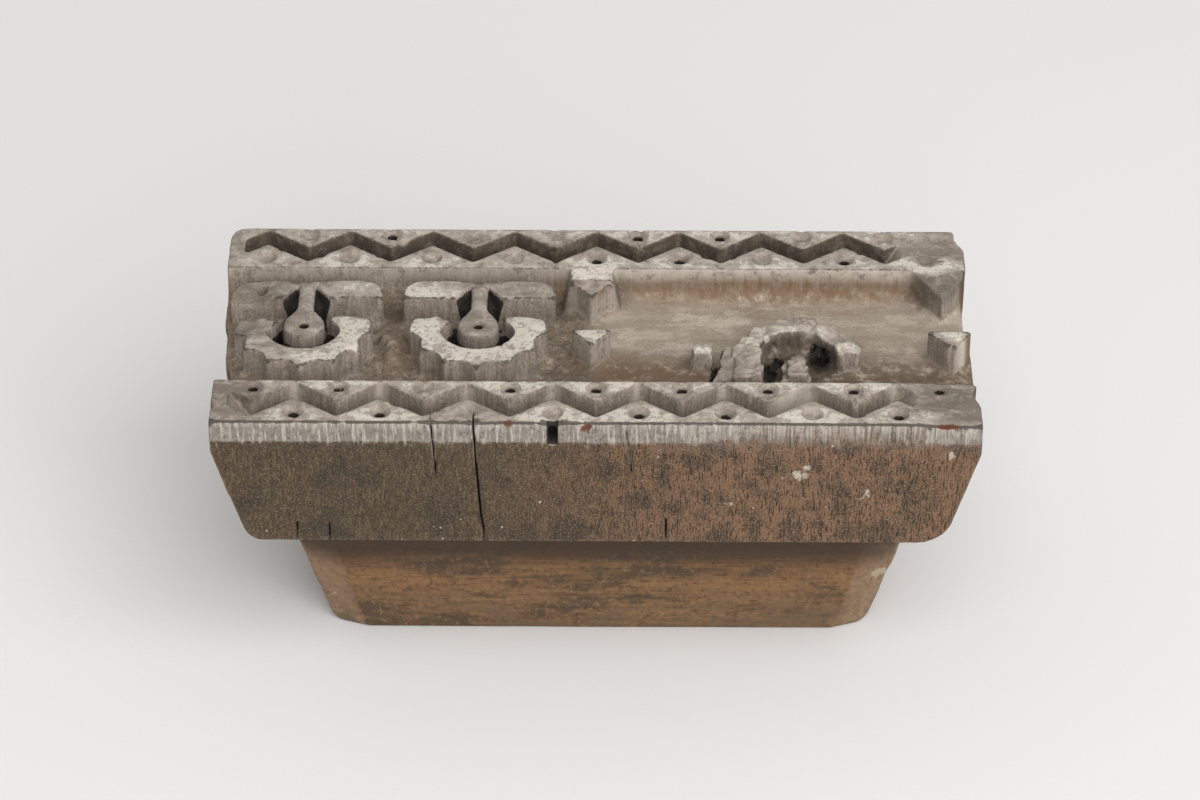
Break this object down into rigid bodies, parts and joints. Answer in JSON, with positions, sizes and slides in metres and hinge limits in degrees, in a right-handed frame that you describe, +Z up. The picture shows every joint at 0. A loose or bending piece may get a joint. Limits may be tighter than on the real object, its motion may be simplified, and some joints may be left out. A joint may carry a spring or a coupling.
{
  "type": "textile printing block",
  "caption": "Carved hardwood textile printing block with zigzag borders, drilled dots and flower motifs, pegged and wedged to a wooden bar handle.",
  "frame": {"origin": "middle of the handle's underside, below the middle of the block, on the surface that it rests on", "axes": "+X along the border strips, to the right in the picture; +Y to the rear; +Z up, from the handle to the printing face"},
  "size_m": [0.2, 0.092, 0.084],
  "materials": {
    "block_wood": "old carved hardwood, end grain up, with pale dried paste on the printing face",
    "handle_wood": "hand-worn brown wood, grain lengthwise",
    "peg_wood": "split and shaved peg wood, end grain showing",
    "wedge_wood": "dark split wedge"
  },
  "bodies": {
    "root": {"printing_block": "block_wood", "handle": "handle_wood", "peg_1": "peg_wood", "peg_2": "peg_wood", "peg_3": "peg_wood", "peg_4": "peg_wood", "wedge_1": "wedge_wood", "wedge_2": "wedge_wood", "wedge_3": "wedge_wood", "wedge_4": "wedge_wood"}
  },
  "joints": []
}
